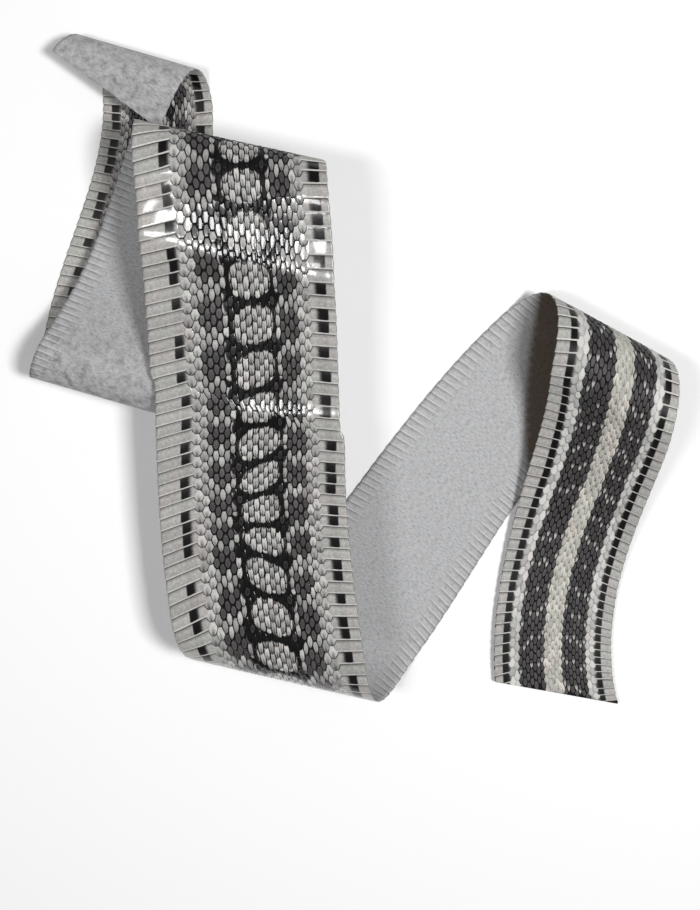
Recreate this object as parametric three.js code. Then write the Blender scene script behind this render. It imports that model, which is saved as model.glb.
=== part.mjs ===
// A tanned snakeskin, cut open along the belly, dried flat and laid down in a loose zigzag.
// It is one sheet. Flat and gently bowed runs are joined by round bends whose axes lie askew, so that
// each run heads off at an angle to the last. Millimetres, +Z up, the table at z = 0.

import * as THREE from "three";

// Thickness of the sheet at the foot of a scale row, and along its thin long edges
const SHEET_THICKNESS = 0.9;
const EDGE_THICKNESS = 0.5;

// How far the rear edge of a row of scales stands up
const SCALE_LEDGE = 0.4;

// The rear corner of each belly scute sticks out of the long edge by this much
const EDGE_TOOTH = 0.6;

// Length of one row of scales, as [station along the sheet, length]
const ROW_LENGTHS = [
  [0, 4.4],
  [150, 4.8],
  [400, 6.1],
  [535, 5.2],
  [600, 6.3],
  [800, 6.2],
  [1000, 5.8],
  [1116, 4.3],
];

// The step from one row to the next takes this share of a row. The last row is at least half a row.
const STEP_SHARE = 0.08;
const SHORTEST_LAST_ROW = 0.5;

// Belly scutes begin at this share of the half width, and lean back towards the tail by this slope
const SCUTE_FROM = 0.62;
const SCUTE_LEAN = 0.16;

// The slope of the cut across the tail end, and how far ahead of it the rows begin to follow it
const TAIL_CUT_SLOPE = -0.4;
const TAIL_CUT_REACH = 70;

// A crease crosses the back at this share of its run, where the sheet steps sideways
const CREASE_AT = 0.46;
const CREASE_STEP = 2.5;
const CREASE_LENGTH = 3;
const CREASE_FADE = 25;

// The sheet from the head end to the tail end.
// length: along the sheet. width: at the piece's start and, where there are two, halfway along it.
// turn: the whole bend in degrees, towards the flesh side.
// lean: the slope of the bend's axis along the sheet, at the bend's start and at its end.
// even: 1, or left out, for a bend of one radius, 0 for one that is tightest halfway.
// bow: curvature out of the sheet's plane, and sway: curvature within it, in 1/m, as the value halfway
// along the run and how much more it is at the run's end.
const SHEET = [
  { name: "head flap", length: 7.0, width: [59.1] },
  { name: "bend over the neck", length: 40.1, turn: -184.1, lean: [-0.297, -0.521], even: 0.85 },
  { name: "neck", length: 130.1, width: [50.0], sway: [2.38, -8.62] },
  { name: "near bend of the neck", length: 69.4, turn: -207.99, lean: [0.007, -0.369], even: 0.73 },
  { name: "front run", length: 99.7, width: [73.3], bow: [14, -0.88], sway: [-0.2, -1.01] },
  { name: "far bend of the back", length: 47.5, turn: 160.86, lean: [-0.293, -0.285], even: 0.68 },
  { name: "back", length: 215.9, width: [86.4, 87.5], bow: [-0.85, -0.06], sway: [-0.45, -1.77] },
  { name: "near bend of the back", length: 79.3, width: [89.2], turn: 162.6, lean: [-0.323, -0.581] },
  { name: "rear run", length: 180.6, width: [78.7], sway: [-0.79, -3.41] },
  { name: "far bend of the tail", length: 83.2, width: [63.1], turn: 206.46, lean: [-0.317, -0.409] },
  { name: "tail", length: 163.2, bow: [-6.14, 10.42], sway: [-1.87, -5.65] },
];
const TAIL_MIDDLE_WIDTH = 59.0;
const TAIL_END_WIDTH = 60.1;

// The middle of the rear run lies flat on the table, scales down, and heads this way
const PLACED_RUN = "rear run";
const PLACED_AT = [46.55, -52.03];
const PLACED_HEADING = 55.99;

// A flesh side that comes this near the table lies on it, and up to the second height it is eased down
const LIES_BELOW = 0.5;
const EASED_BELOW = 1.8;

// Longest step of the walk along the sheet, and rounds taken to find the foot of a line across it
const WALK_STEP = 1.5;
const FOOT_ROUNDS = 12;

// Where points go round a section, as shares of the half width: over the scales, then back below
const TOP_STATIONS = [1, 0.62, 0.2, -0.2, -0.62, -1];
const UNDER_STATIONS = [-1, -0.4, 0.4, 1];

const METRE = 1000;
const radians = THREE.MathUtils.degToRad;

// Station of each piece's start and end along the sheet
function laidOut() {
  let at = 0;
  return SHEET.map((piece) => {
    const start = at;
    at += piece.length;
    return { ...piece, start, end: at };
  });
}

const PIECES = laidOut();
const SHEET_LENGTH = PIECES.at(-1).end;
const BENDS = PIECES.filter((piece) => piece.turn);

// A smooth curve through knots [x, y], each knot's slope taken from its neighbours
function smooth(knots, x) {
  const last = knots.length - 1;
  const slope = (i) => {
    const [a, b] = [knots[Math.max(i - 1, 0)], knots[Math.min(i + 1, last)]];
    return (b[1] - a[1]) / (b[0] - a[0]);
  };
  const at = THREE.MathUtils.clamp(x, knots[0][0], knots[last][0]);
  const i = Math.min(Math.max(knots.findIndex((k) => k[0] > at) - 1, 0), last - 1);
  const from = at >= knots[last][0] ? last - 1 : i;
  const [[x0, y0], [x1, y1]] = [knots[from], knots[from + 1]];
  const h = x1 - x0;
  const t = (at - x0) / h;
  const u = 1 - t;
  const between = y0 * (1 + 2 * t) * u * u + y1 * t * t * (3 - 2 * t);
  return between + h * t * u * (slope(from) * u - slope(from + 1) * t);
}

// Straight lines through knots [x, y]
function linear(knots, x) {
  const i = knots.findIndex((k) => k[0] >= x);
  if (i === 0) return knots[0][1];
  if (i < 0) return knots.at(-1)[1];
  const [[x0, y0], [x1, y1]] = [knots[i - 1], knots[i]];
  return y0 + ((y1 - y0) * (x - x0)) / (x1 - x0);
}

const TAIL_MIDDLE = SHEET_LENGTH - PIECES.at(-1).length / 2;
const WIDTHS = PIECES.flatMap((piece) =>
  (piece.width ?? []).map((w, i) => [piece.start + (i * piece.length) / 2, w]),
).concat([
  [TAIL_MIDDLE, TAIL_MIDDLE_WIDTH],
  [SHEET_LENGTH, TAIL_END_WIDTH],
]);

const LEANS = BENDS.flatMap((bend) => [
  [bend.start, bend.lean[0]],
  [bend.end, bend.lean[1]],
]);

// How sharply the sheet bends towards its flesh side at share x of a piece
function bending(piece, x) {
  if (!piece.turn) {
    const [middle, more] = piece.bow ?? [0, 0];
    return ((middle + more * (2 * x - 1)) * Math.sin(Math.PI * x)) / METRE;
  }
  const even = piece.even ?? 1;
  const peak = 1 - Math.cos(2 * Math.PI * x);
  return ((even + (1 - even) * peak) * radians(piece.turn)) / piece.length;
}

function swaying(piece, x) {
  const [middle, more] = piece.sway ?? [0, 0];
  return (middle + more * (2 * x - 1)) / METRE;
}

// The sheet's middle line: point, heading, left-hand side and scale-side normal at each station
function walked() {
  const heading = new THREE.Vector3(1, 0, 0);
  const normal = new THREE.Vector3(0, 0, 1);
  const left = heading.clone().cross(normal);
  const point = new THREE.Vector3();
  const frameHere = (s) => ({
    s,
    point: point.clone(),
    heading: heading.clone(),
    left: left.clone(),
    normal: normal.clone(),
  });
  const line = [frameHere(0)];
  for (const piece of PIECES) {
    const count = Math.ceil(piece.length / WALK_STEP);
    const step = piece.length / count;
    for (let i = 0; i < count; i++) {
      const x = (i + 0.5) / count;
      const lean = linear(LEANS, piece.start + x * piece.length);
      const spin = left.clone().addScaledVector(heading, lean).multiplyScalar(-bending(piece, x));
      spin.addScaledVector(normal, -swaying(piece, x));
      const angle = spin.length() * step;
      spin.normalize();
      point.addScaledVector(heading.clone().applyAxisAngle(spin, angle / 2), step);
      for (const v of [heading, left, normal]) v.applyAxisAngle(spin, angle);
      line.push(frameHere(piece.start + (i + 1) * step));
    }
  }
  return line;
}

// The line turned and moved so that the placed run's middle lies on the table, scales down
function placed(line) {
  const run = PIECES.find((piece) => piece.name === PLACED_RUN);
  const middle = frameAt(line, (run.start + run.end) / 2);
  const a = radians(PLACED_HEADING);
  const heading = new THREE.Vector3(Math.cos(a), Math.sin(a), 0);
  const normal = new THREE.Vector3(0, 0, -1);
  const target = new THREE.Matrix4()
    .makeBasis(heading, normal, heading.clone().cross(normal))
    .setPosition(...PLACED_AT, SHEET_THICKNESS + SCALE_LEDGE);
  const source = new THREE.Matrix4()
    .makeBasis(middle.heading, middle.normal, middle.left)
    .setPosition(middle.point);
  const move = target.multiply(source.invert());
  for (const frame of line) {
    frame.point.applyMatrix4(move);
    for (const v of [frame.heading, frame.left, frame.normal]) v.transformDirection(move);
  }
  return line;
}

function frameAt(line, s) {
  const last = line.length - 1;
  const next = line.findIndex((frame) => frame.s >= s);
  const i = next < 0 ? last : Math.max(next, 1);
  const [a, b] = [line[i - 1], line[i]];
  const t = THREE.MathUtils.clamp((s - a.s) / (b.s - a.s), 0, 1);
  const mix = (key) => a[key].clone().lerp(b[key], t);
  return {
    point: mix("point"),
    heading: mix("heading"),
    left: mix("left"),
    normal: mix("normal").normalize(),
  };
}

const LINE = placed(walked());

function creaseStep(s) {
  const back = PIECES.find((piece) => piece.name === "back");
  const past = s - (back.start + CREASE_AT * back.length);
  if (past <= 0) return 0;
  return -CREASE_STEP * Math.exp(-past / CREASE_FADE) * (1 - Math.exp(-past / CREASE_LENGTH));
}

// What nearly touches the table with its flesh side lies flat on it
function settled(z) {
  if (z < LIES_BELOW) return 0;
  if (z > EASED_BELOW) return z;
  return ((z - LIES_BELOW) * EASED_BELOW) / (EASED_BELOW - LIES_BELOW);
}

// A point of the sheet: s along it, v to the left of its middle line, h above its flesh side.
// Each straight line across a bend leans along the sheet, so its foot is found first.
function sheetPoint(s, v, h) {
  let foot = s;
  for (let i = 0; i < FOOT_ROUNDS; i++) foot = s - v * linear(LEANS, foot);
  const frame = frameAt(LINE, foot);
  const beyond = foot - THREE.MathUtils.clamp(foot, 0, SHEET_LENGTH);
  const across = v + creaseStep(foot);
  const point = frame.point
    .addScaledVector(frame.left, across)
    .addScaledVector(frame.heading, v * linear(LEANS, foot) + beyond);
  if (frame.normal.z > 0) point.z = settled(point.z);
  return point.addScaledVector(frame.normal, h);
}

// Stations of the rows of scales
function rowStations() {
  const stations = [0];
  for (;;) {
    const at = stations.at(-1);
    const length = linear(ROW_LENGTHS, at);
    if (SHEET_LENGTH - at < (1 + SHORTEST_LAST_ROW) * length) break;
    stations.push(at + length);
  }
  return stations.concat([SHEET_LENGTH]);
}

// The ring of points round the sheet at one station. raised is 0 at a row's foot and 1 at its rear edge.
function section(s, raised) {
  const half = smooth(WIDTHS, s) / 2;
  const slope = TAIL_CUT_SLOPE * Math.max(0, 1 - (SHEET_LENGTH - s) / TAIL_CUT_REACH);
  const inside = Math.min(1, s / TAIL_CUT_REACH, (SHEET_LENGTH - s) / TAIL_CUT_REACH);
  const onScute = (v) => Math.max(0, Math.abs(v) - SCUTE_FROM * half);
  const along = (v) => s + slope * v + inside * SCUTE_LEAN * onScute(v);
  const top = TOP_STATIONS.map((share) => {
    const atEdge = Math.abs(share) === 1;
    const v = share * half + (atEdge ? Math.sign(share) * EDGE_TOOTH * raised : 0);
    const thickness = atEdge ? EDGE_THICKNESS : SHEET_THICKNESS;
    return sheetPoint(along(v), v, thickness + SCALE_LEDGE * raised);
  });
  const under = UNDER_STATIONS.map((share) => sheetPoint(along(share * half), share * half, 0));
  return top.concat(under);
}

// The closed solid: a ring at the foot and at the rear edge of every row, joined in order
function snakeskinGeometry() {
  const stations = rowStations();
  const rings = [];
  stations.slice(0, -1).forEach((start, i) => {
    const end = stations[i + 1];
    const step = (STEP_SHARE * (end - start)) / 2;
    const foot = i === 0 ? start : start + step;
    const rear = i === stations.length - 2 ? end : end - step;
    rings.push(section(foot, 0), section(rear, 1));
  });
  const around = rings[0].length;
  const faces = [];
  for (let r = 0; r + 1 < rings.length; r++) {
    const [here, there] = [r * around, (r + 1) * around];
    for (let k = 0; k < around; k++) {
      const next = (k + 1) % around;
      faces.push(here + k, there + next, here + next);
      faces.push(here + k, there + k, there + next);
    }
  }
  const last = (rings.length - 1) * around;
  for (let k = 1; k < around / 2; k++) {
    const [p, q, m, n] = [k - 1, k, around - 1 - k, around - k];
    faces.push(p, q, n, q, m, n);
    faces.push(last + p, last + n, last + q, last + q, last + n, last + m);
  }
  const places = rings.flat().flatMap((point) => point.toArray());
  const geometry = new THREE.BufferGeometry();
  geometry.setAttribute("position", new THREE.Float32BufferAttribute(places, 3));
  geometry.setIndex(faces);
  geometry.computeVertexNormals();
  return geometry;
}

const leather = new THREE.MeshStandardMaterial({ color: 0xb9b6b0, roughness: 0.4, metalness: 0 });
const snakeskin = new THREE.Mesh(snakeskinGeometry(), leather);
snakeskin.name = "snakeskin";

const part = new THREE.Group();
part.add(snakeskin);

export default part;
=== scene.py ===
"""A tanned snakeskin, laid down in a loose zigzag on a pale table.

The skin is one sheet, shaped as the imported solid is: flat runs joined by round bends whose axes lie
askew. On its outer side lie the scales, as raised overlapping plates: 23 rows of small ones along the
back and a row of wide belly scutes, cut in two, along each edge. Its inner side is bare leather.

A place on the sheet is (s, v, h): s along it from the head end, v to the left of its middle line,
h above its flesh side. Everything is in metres, in the part's own frame.
"""

import math

import bpy
import numpy as np
from mathutils import Matrix, Vector


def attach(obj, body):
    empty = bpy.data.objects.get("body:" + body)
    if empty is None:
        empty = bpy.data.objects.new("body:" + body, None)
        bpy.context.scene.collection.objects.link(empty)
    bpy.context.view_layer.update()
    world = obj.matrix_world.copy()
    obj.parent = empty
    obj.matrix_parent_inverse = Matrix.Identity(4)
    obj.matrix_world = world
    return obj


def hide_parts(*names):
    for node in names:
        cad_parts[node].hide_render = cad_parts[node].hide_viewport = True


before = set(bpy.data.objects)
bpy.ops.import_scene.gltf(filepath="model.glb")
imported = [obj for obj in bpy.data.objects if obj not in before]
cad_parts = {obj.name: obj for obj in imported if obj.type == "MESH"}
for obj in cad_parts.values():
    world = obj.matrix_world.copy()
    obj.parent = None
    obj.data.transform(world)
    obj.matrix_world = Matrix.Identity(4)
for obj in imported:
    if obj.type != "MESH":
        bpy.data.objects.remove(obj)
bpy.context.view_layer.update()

MM = 0.001

# The sheet, as the solid has it

SHEET_THICKNESS = 0.9 * MM
SCALE_LEDGE = 0.4 * MM
EDGE_TOOTH = 0.5 * MM

# The sheet from the head end to the tail end. length: along the sheet. turn: the whole bend in
# degrees, towards the flesh side. lean: slope of the bend's axis at its start and end. even: 1 for a
# bend of one radius. bow and sway: curvature out of the sheet's plane and within it, in 1/m, halfway
# along the run and how much more it is at the run's end.
SHEET = [
    {"name": "head flap", "length": 7.0},
    {"name": "bend over the neck", "length": 40.1, "turn": -184.1, "lean": (-0.297, -0.521), "even": 0.85},
    {"name": "neck", "length": 130.1, "sway": (2.38, -8.62)},
    {"name": "near bend of the neck", "length": 69.4, "turn": -207.99, "lean": (0.007, -0.369),
     "even": 0.73},
    {"name": "front run", "length": 99.7, "bow": (14, -0.88), "sway": (-0.2, -1.01)},
    {"name": "far bend of the back", "length": 47.5, "turn": 160.86, "lean": (-0.293, -0.285),
     "even": 0.68},
    {"name": "back", "length": 215.9, "bow": (-0.85, -0.06), "sway": (-0.45, -1.77)},
    {"name": "near bend of the back", "length": 79.3, "turn": 162.6, "lean": (-0.323, -0.581)},
    {"name": "rear run", "length": 180.6, "sway": (-0.79, -3.41)},
    {"name": "far bend of the tail", "length": 83.2, "turn": 206.46, "lean": (-0.317, -0.409)},
    {"name": "tail", "length": 163.2, "bow": (-6.14, 10.42), "sway": (-1.87, -5.65)},
]
WIDTHS = [(0, 59.1), (47.1, 50.0), (246.6, 73.3), (393.8, 86.4), (501.75, 87.5),
          (609.7, 89.2), (689, 78.7), (869.6, 63.1), (1034.4, 59.0), (1116, 60.1)]

TAIL_CUT_SLOPE = -0.4
TAIL_CUT_REACH = 70 * MM

CREASE_AT = 0.46
CREASE_STEP = 2.5 * MM
CREASE_LENGTH = 3 * MM
CREASE_FADE = 25 * MM

PLACED_RUN = "rear run"
PLACED_AT = (46.55 * MM, -52.03 * MM)
PLACED_HEADING = 55.99

LIES_BELOW = 0.5 * MM
EASED_BELOW = 1.8 * MM
WALK_STEP = 1.5 * MM
FOOT_ROUNDS = 12
# The scales end this far short of the cut ends
TRIMMED_BY = 0.15 * MM

# Length in mm of one row of scales at stations along the sheet, and past its two ends
ROW_LENGTHS = [(0, 4.4), (150, 4.8), (400, 6.1), (535, 5.2), (600, 6.3), (800, 6.2), (1000, 5.8),
               (1116, 4.3)]

ROW_AT_HEAD = ROW_LENGTHS[0][1] * MM
ROW_AT_TAIL = ROW_LENGTHS[-1][1] * MM
# The last row may be this many times as long as the others there
LONGEST_LAST_ROW = 1.5

# Scutes lean back towards the tail: slope at stations along the sheet, on the left and on the right
LEFT_LEANS = [(0, 0.05), (400, 0.2), (600, 0.3), (700, 0.2), (950, 0.05)]
RIGHT_LEANS = [(0, 0.1), (600, 0.08), (950, 0.15), (1116, 0.3)]

# Where across the sheet, from its left edge, the small scales begin and end, and the spine runs
BACK_LEFT = [(0, 0.16), (150, 0.17), (400, 0.2), (620, 0.195), (940, 0.16), (1000, 0.178),
             (1058, 0.13), (1116, 0.118)]
SPINE = [(0, 0.51), (380, 0.57), (480, 0.578), (520, 0.56), (600, 0.545), (640, 0.527), (700, 0.53),
         (965, 0.563), (1000, 0.549), (1058, 0.498), (1116, 0.488)]
BACK_RIGHT = [(0, 0.85), (400, 0.874), (620, 0.86), (940, 0.88), (1000, 0.857), (1116, 0.853)]

COLUMNS = 23
MIDDLE_COLUMN = COLUMNS // 2
# Width of a column against the others: the outermost, the flank's, the back's
OUTER_COLUMN, FLANK_COLUMN, BACK_COLUMN = 1.35, 1.12, 0.95
FLANK_COLUMNS = 2


def knots(pairs):
    """Stations in metres and values of a list of knots that has its stations in millimetres."""
    at, value = np.array(pairs, float).T
    return at * MM, value


def along_knots(pairs, s):
    return np.interp(s, *knots(pairs))


def smooth_knots(pairs, s):
    """A smooth curve through knots, each knot's slope taken from its neighbours."""
    x, y = knots(pairs)
    padded_x, padded_y = np.r_[x[0], x, x[-1]], np.r_[y[0], y, y[-1]]
    slope = (padded_y[2:] - padded_y[:-2]) / (padded_x[2:] - padded_x[:-2])
    s = np.clip(s, x[0], x[-1])
    i = np.clip(np.searchsorted(x, s, side="right") - 1, 0, len(x) - 2)
    h = x[i + 1] - x[i]
    t = (s - x[i]) / h
    u = 1 - t
    ends = y[i] * (1 + 2 * t) * u * u + y[i + 1] * t * t * (3 - 2 * t)
    return ends + h * t * u * (slope[i] * u - slope[i + 1] * t)


def laid_out():
    """The sheet's pieces with the station where each starts and ends."""
    pieces, at = [], 0.0
    for piece in SHEET:
        length = piece["length"] * MM
        pieces.append({**piece, "length": length, "start": at, "end": at + length})
        at += length
    return pieces


PIECES = laid_out()
RUNS = {piece["name"]: piece for piece in PIECES}
SHEET_LENGTH = PIECES[-1]["end"]
BENDS = [piece for piece in PIECES if "turn" in piece]
LEAN_STATIONS = [x for bend in BENDS for x in (bend["start"], bend["end"])]
LEAN_VALUES = [x for bend in BENDS for x in bend["lean"]]


def axis_lean(s):
    return np.interp(s, LEAN_STATIONS, LEAN_VALUES)


def width_at(s):
    return smooth_knots(WIDTHS, s) * MM


def bending(piece, x):
    """How sharply the sheet bends towards its flesh side at share x of a piece."""
    if "turn" not in piece:
        middle, more = piece.get("bow", (0, 0))
        return (middle + more * (2 * x - 1)) * math.sin(math.pi * x)
    even = piece.get("even", 1)
    peak = 1 - math.cos(2 * math.pi * x)
    return (even + (1 - even) * peak) * math.radians(piece["turn"]) / piece["length"]


def swaying(piece, x):
    middle, more = piece.get("sway", (0, 0))
    return middle + more * (2 * x - 1)


def walked():
    """The middle line: stations, and at each the point, heading, left-hand side and scale-side normal."""
    axes = np.array([[1.0, 0, 0], [0, -1.0, 0], [0, 0, 1.0]])
    point = np.zeros(3)
    stations, frames = [0.0], [np.vstack([point, axes])]
    for piece in PIECES:
        count = math.ceil(piece["length"] / WALK_STEP)
        step = piece["length"] / count
        for i in range(count):
            x = (i + 0.5) / count
            heading, left, normal = axes
            lean = axis_lean(piece["start"] + x * piece["length"])
            spin = -bending(piece, x) * (left + lean * heading) - swaying(piece, x) * normal
            rate = float(np.linalg.norm(spin))
            axis = Vector(spin / rate if rate > 0 else normal)
            half = np.array(Matrix.Rotation(rate * step / 2, 3, axis))
            whole = np.array(Matrix.Rotation(rate * step, 3, axis))
            point = point + half @ heading * step
            axes = axes @ whole.T
            stations.append(piece["start"] + (i + 1) * step)
            frames.append(np.vstack([point, axes]))
    return np.array(stations), np.array(frames)


def frame_at(line, s):
    """The middle line's point, heading, left and normal at each s, as an array (..., 4, 3)."""
    stations, frames = line
    flat = np.stack([np.interp(s, stations, f) for f in frames.reshape(len(stations), -1).T], -1)
    found = flat.reshape(*np.shape(s), 4, 3)
    found[..., 3, :] /= np.linalg.norm(found[..., 3, :], axis=-1, keepdims=True)
    return found


def placed(line):
    """The line moved so that the placed run's middle lies on the table, scales down."""
    run = RUNS[PLACED_RUN]
    point, heading, left, normal = frame_at(line, (run["start"] + run["end"]) / 2)
    a = math.radians(PLACED_HEADING)
    to_heading, to_normal = np.array([math.cos(a), math.sin(a), 0]), np.array([0, 0, -1.0])
    target = np.array([to_heading, to_normal, np.cross(to_heading, to_normal)]).T
    turn = target @ np.linalg.inv(np.array([heading, normal, left]).T)
    stations, frames = line
    moved = frames @ turn.T
    moved[:, 0] += np.array([*PLACED_AT, SHEET_THICKNESS + SCALE_LEDGE]) - turn @ point
    moved[:, 1:] /= np.linalg.norm(moved[:, 1:], axis=-1, keepdims=True)
    return stations, moved


LINE = placed(walked())


def crease_step(s):
    """The sideways step of the sheet past the crease across the back."""
    past = np.maximum(s - (RUNS["back"]["start"] + CREASE_AT * RUNS["back"]["length"]), 0)
    return -CREASE_STEP * np.exp(-past / CREASE_FADE) * (1 - np.exp(-past / CREASE_LENGTH))


def settled(z):
    """What nearly touches the table with its flesh side lies flat on it."""
    eased = (z - LIES_BELOW) * EASED_BELOW / (EASED_BELOW - LIES_BELOW)
    return np.where(z < LIES_BELOW, 0, np.where(z > EASED_BELOW, z, eased))


# The crease stands up in a low ridge, and a soft swell crosses the back ahead of it
RIDGES = [
    # station at the middle line, slope across, height, half length, left end
    (498.0 * MM, -0.05, 0.8 * MM, 4.2 * MM, 12 * MM),
    (427.0 * MM, -0.27, 1.7 * MM, 10.0 * MM, 70 * MM),
]
RIDGE_FADE = 14 * MM


def ridged(s, v):
    """How far the sheet stands up at its ridges, both sides together."""
    total = np.zeros(np.shape(s))
    for at, slope, height, half_length, left_end in RIDGES:
        fade = np.clip((left_end - v) / RIDGE_FADE, 0, 1)
        total = total + fade * height * np.exp(-(((s - at - slope * v) / half_length) ** 2))
    return total


def sheet_points(s, v, h):
    """Points of the sheet. Each straight line across a bend leans, so its foot is found first."""
    s, v, h = np.broadcast_arrays(s, v, h)
    foot = s.copy()
    for _ in range(FOOT_ROUNDS):
        foot = s - v * axis_lean(foot)
    found = frame_at(LINE, foot)
    beyond = foot - np.clip(foot, 0, SHEET_LENGTH)
    across = v + crease_step(foot)
    onward = v * axis_lean(foot) + beyond
    points = found[..., 0, :] + found[..., 2, :] * across[..., None] + found[..., 1, :] * onward[..., None]
    normal = found[..., 3, :]
    points[..., 2] = np.where(normal[..., 2] > 0, settled(points[..., 2]), points[..., 2])
    return points + normal * (h + ridged(s, v))[..., None]


# Rows and columns of scales


def row_stations():
    """Where each row of scales begins, and the sheet's end."""
    stations = [0.0]
    while SHEET_LENGTH - stations[-1] > LONGEST_LAST_ROW * along_knots(ROW_LENGTHS, stations[-1]) * MM:
        stations.append(stations[-1] + along_knots(ROW_LENGTHS, stations[-1]) * MM)
    return np.array(stations + [SHEET_LENGTH])


ROWS = row_stations()
ROW_NUMBERS = np.arange(len(ROWS))


def row_at(s):
    """The row number at s, with its fraction."""
    return np.interp(s, ROWS, ROW_NUMBERS)


def row_at_wide(s):
    """The row number at s, also a little beyond the tail end."""
    return row_at(s) + np.maximum(s - SHEET_LENGTH, 0) / ROW_AT_TAIL


def station_of(row):
    """The station of a row number with its fraction, also a little beyond either end."""
    inside = np.interp(row, ROW_NUMBERS, ROWS)
    before = np.minimum(row, 0) * ROW_AT_HEAD
    after = np.maximum(row - ROW_NUMBERS[-1], 0) * ROW_AT_TAIL
    return inside + before + after


def column_places():
    """Middle and width of each column: 0 at the back's left end, 1 at the spine, 2 at its right end."""
    inner_columns = MIDDLE_COLUMN - FLANK_COLUMNS
    half = [OUTER_COLUMN] + [FLANK_COLUMN] * (FLANK_COLUMNS - 1) + [BACK_COLUMN] * inner_columns
    shares = np.array(half + [BACK_COLUMN] + half[::-1])
    ends = np.cumsum(shares)
    return 2 * (ends - shares / 2) / ends[-1], 2 * shares / ends[-1]


COLUMN_PLACES, COLUMN_SHARES = column_places()


def back_shares(s):
    """The back's left end, the spine and the back's right end, as shares of the width."""
    return [along_knots(pairs, s) for pairs in (BACK_LEFT, SPINE, BACK_RIGHT)]


def back_v(place, s):
    """v of a place across the back, 0 at its left end, 1 at the spine, 2 at its right end."""
    left, spine, right = back_shares(s)
    share = np.where(place < 1, left + (spine - left) * place, spine + (right - spine) * (place - 1))
    return width_at(s) * (0.5 - share)


def place_of(s, v):
    """The place across the back of a point, the inverse of back_v."""
    left, spine, right = back_shares(s)
    share = 0.5 - v / width_at(s)
    return np.where(share < spine, (share - left) / (spine - left), 1 + (share - spine) / (right - spine))


def leaning(s, v):
    """How far back a scute's joint lies at v: it leans towards the tail outside the back."""
    left, right = back_v(0.0, s), -back_v(2.0, s)
    on_left = along_knots(LEFT_LEANS, s) * np.maximum(v - left, 0)
    on_right = along_knots(RIGHT_LEANS, s) * np.maximum(-v - right, 0)
    inside = np.clip(np.minimum(s, SHEET_LENGTH - s) / TAIL_CUT_REACH, 0, 1)
    return inside * (on_left + on_right)


def tail_cut(v):
    return SHEET_LENGTH + TAIL_CUT_SLOPE * v


def trimmed(s, v):
    """Stations kept between the two cut ends."""
    return np.clip(s, TRIMMED_BY, tail_cut(v) - TRIMMED_BY)


# The pattern

# Stations in mm of the black nodes left and right of the pale ovals on the back
LEFT_NODES = [403, 424, 446, 468, 489, 504, 523, 538, 551, 563, 583, 604, 624]
RIGHT_NODES = [403, 426, 444, 465, 484, 501, 517, 533, 551, 570, 589, 611, 630]
# An oval takes this many rows where the lists of nodes have ended
ROWS_PER_OVAL = 3.0
# Blotches and ovals ahead of this station, stripes past it
STRIPES_FROM = 700 * MM
# The scales are glossy between these stations, and matt elsewhere
GLOSSY_SCALES = (400 * MM, 720 * MM)
GLOSSY_SCUTES = (386 * MM, 720 * MM)

# Phase of the middle of a dark blotch, and of the gap between two pale patches, after a node
LEFT_PHASES = {"blotch": 0.25, "gap": 0.68}
RIGHT_PHASES = {"blotch": 0.6, "gap": 0.9}

# How far outside the back a scute's dark mark begins and ends, in mm, left and right
LEFT_MARK_ENDS = (
    [(0, 0.6), (150, 0.8), (400, 1.0), (500, 1.2), (560, 3.6), (620, 4.2), (700, 2), (950, 0.1)],
    [(0, 4.3), (150, 4.3), (400, 5.0), (500, 5.2), (560, 7.6), (620, 8.4), (700, 6), (950, 3.4)],
)
RIGHT_MARK_ENDS = (
    [(0, 0.6), (150, 0.8), (400, 3.4), (500, 3.4), (620, 3.7), (700, 2), (950, 0.1)],
    [(0, 4.3), (150, 4.3), (400, 8.0), (500, 8.0), (620, 7.6), (700, 6), (950, 3.2)],
)


def node_phase(nodes, s):
    """Whole numbers at the nodes, which go on past both ends of the list by so many rows each."""
    at = row_at(np.array(nodes) * MM)
    row = row_at(s)
    inside = np.interp(row, at, np.arange(len(at)))
    before = np.minimum(row - at[0], 0) / ROWS_PER_OVAL
    after = np.maximum(row - at[-1], 0) / ROWS_PER_OVAL
    return inside + before + after


def apart(a, b):
    """How far apart two phases are, from 0 to a half."""
    d = np.mod(a - b, 1)
    return np.minimum(d, 1 - d)


# Each kind of small scale: tone of its body and of its margin, how far the body reaches along and
# across from the middle, darkness of the slit at its tip, and its length in rows and width in columns
KINDS = {
    "oval": (0.97, 0.08, 0.62, 0.8, 0.85, 1.25, 1.2),
    "patch": (0.92, 0.0, 0.56, 0.74, 0.6, 1.2, 1.3),
    "node": (0.24, 0.0, 0.3, 0.7, 0.0, 1.1, 1.3),
    "blotch": (0.42, 0.0, 0.38, 0.68, 0.0, 1.1, 1.45),
    "between": (0.84, 0.0, 0.52, 0.74, 0.4, 1.15, 1.4),
    "side": (0.9, 0.03, 0.55, 0.98, 0.7, 1.12, 1.45),
    "stripe": (0.97, 0.82, 0.7, 1.2, 0.55, 1.25, 1.5),
    "dark": (0.37, 0.0, 0.4, 0.72, 0.0, 1.05, 1.5),
    "fleck": (0.37, 0.0, 0.66, 0.62, 0.0, 1.05, 1.45),
    "pale_side": (0.97, 0.8, 0.6, 1.15, 0.0, 1.2, 1.5),
}
KIND_NAMES = list(KINDS)
KIND_VALUES = np.array([KINDS[name] for name in KIND_NAMES])

# Where the pattern of the back changes, in columns from the spine
NODE_COLUMN = 4.2
PATCH_COLUMNS = (4.5, 6.2)
BLOTCH_COLUMNS = (5.9, 9.5)
STRIPE_COLUMNS = 2.5
BACK_COLUMN_WIDTH = 2.4
# An oval slopes from its left phase to its right one over this many columns
OVAL_COLUMNS = 7

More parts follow.
